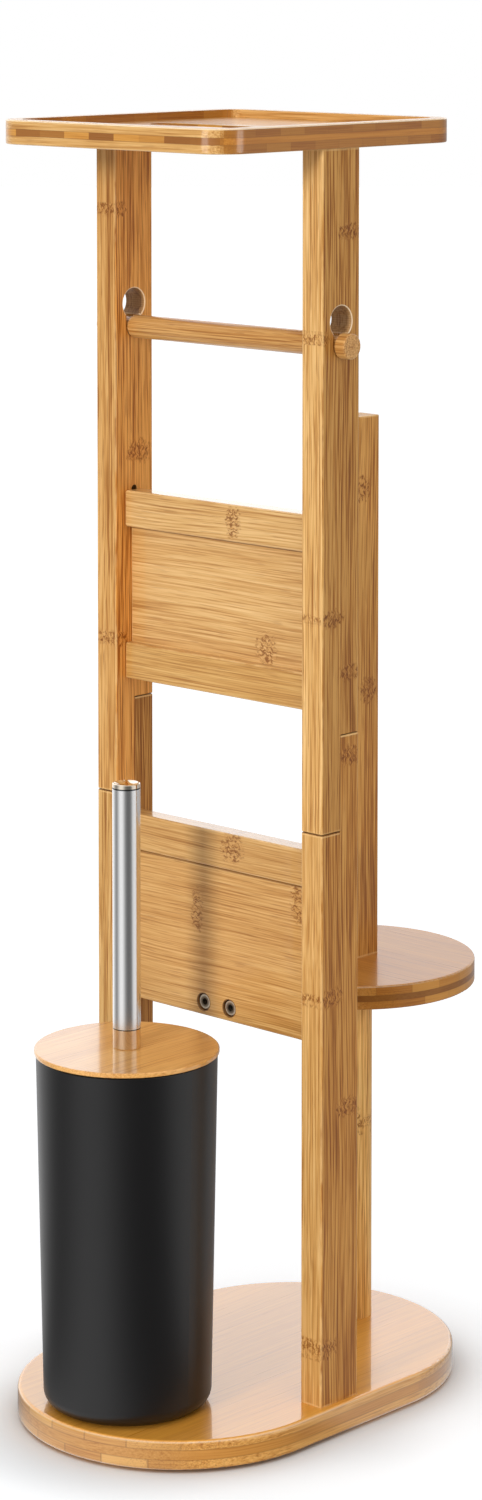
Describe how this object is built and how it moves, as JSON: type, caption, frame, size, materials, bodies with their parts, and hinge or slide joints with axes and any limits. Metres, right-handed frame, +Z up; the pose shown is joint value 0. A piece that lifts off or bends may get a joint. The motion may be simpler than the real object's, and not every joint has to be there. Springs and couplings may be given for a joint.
{
  "type": "toilet roll stand with brush set",
  "caption": "Free-standing bamboo toilet roll stand on an oval board, with a tray on top, a lift-off roll rod, a peg for spare rolls behind, and a brush in its cup in front.",
  "frame": {"origin": "middle of the oval base board's outline, on the floor under its pads", "axes": "+Z up; X along the roll rod, from the left post to the right post; -Y towards the brush, +Y towards the spare roll peg"},
  "size_m": [0.21, 0.3409, 0.8],
  "materials": {
    "bamboo": "caramel bamboo, satin lacquer",
    "board_laminate": "caramel bamboo, gloss lacquer",
    "dowel_wood": "plain beech",
    "pad_rubber": "matte",
    "fastener_steel": "dark bronze plated",
    "sleeve_zinc": "zinc plated",
    "cup_plastic": "charcoal matte",
    "brush_plastic": "black satin",
    "bristle_nylon": "black nylon",
    "brushed_steel": "satin stainless steel",
    "polished_steel": "polished"
  },
  "bodies": {
    "frame": {"base_board": "board_laminate", "foot_pads": "pad_rubber", "base_screws": "fastener_steel", "lower_post_left": "bamboo", "lower_post_right": "bamboo", "upper_post_left": "bamboo", "upper_post_right": "bamboo", "lap_bolts": "fastener_steel", "lap_sleeves": "sleeve_zinc", "upper_panel_top_rail": "bamboo", "upper_panel_board": "bamboo", "upper_panel_bottom_rail": "bamboo", "lower_panel_top_rail": "bamboo", "lower_panel_board": "bamboo", "panel_dowels": "dowel_wood", "tray": "bamboo", "tray_dowels": "dowel_wood", "rear_shelf": "bamboo", "shelf_bolts": "fastener_steel", "shelf_sleeves": "sleeve_zinc", "rear_leg": "bamboo", "spare_roll_peg": "bamboo", "peg_stud": "fastener_steel"},
    "roll_rod": {"roll_rod": "bamboo"},
    "brush_cup": {"brush_cup": "cup_plastic"},
    "brush": {"brush_lid": "bamboo", "handle_ferrule": "polished_steel", "handle_tube": "brushed_steel", "handle_cap": "polished_steel", "brush_stem": "brush_plastic", "brush_head": "brush_plastic", "bristles": "bristle_nylon"}
  },
  "joints": [
    {"name": "rod_lift", "type": "slide", "parent": "frame", "child": "roll_rod", "axis": [0, 0, 1], "range_m": [0, 0.0145]},
    {"name": "cup_lift", "type": "slide", "parent": "frame", "child": "brush_cup", "axis": [0, 0, 1], "range_m": [0, 0.1]},
    {"name": "brush_lift", "type": "slide", "parent": "brush_cup", "child": "brush", "axis": [0, 0, 1], "range_m": [0, 0.2]}
  ]
}
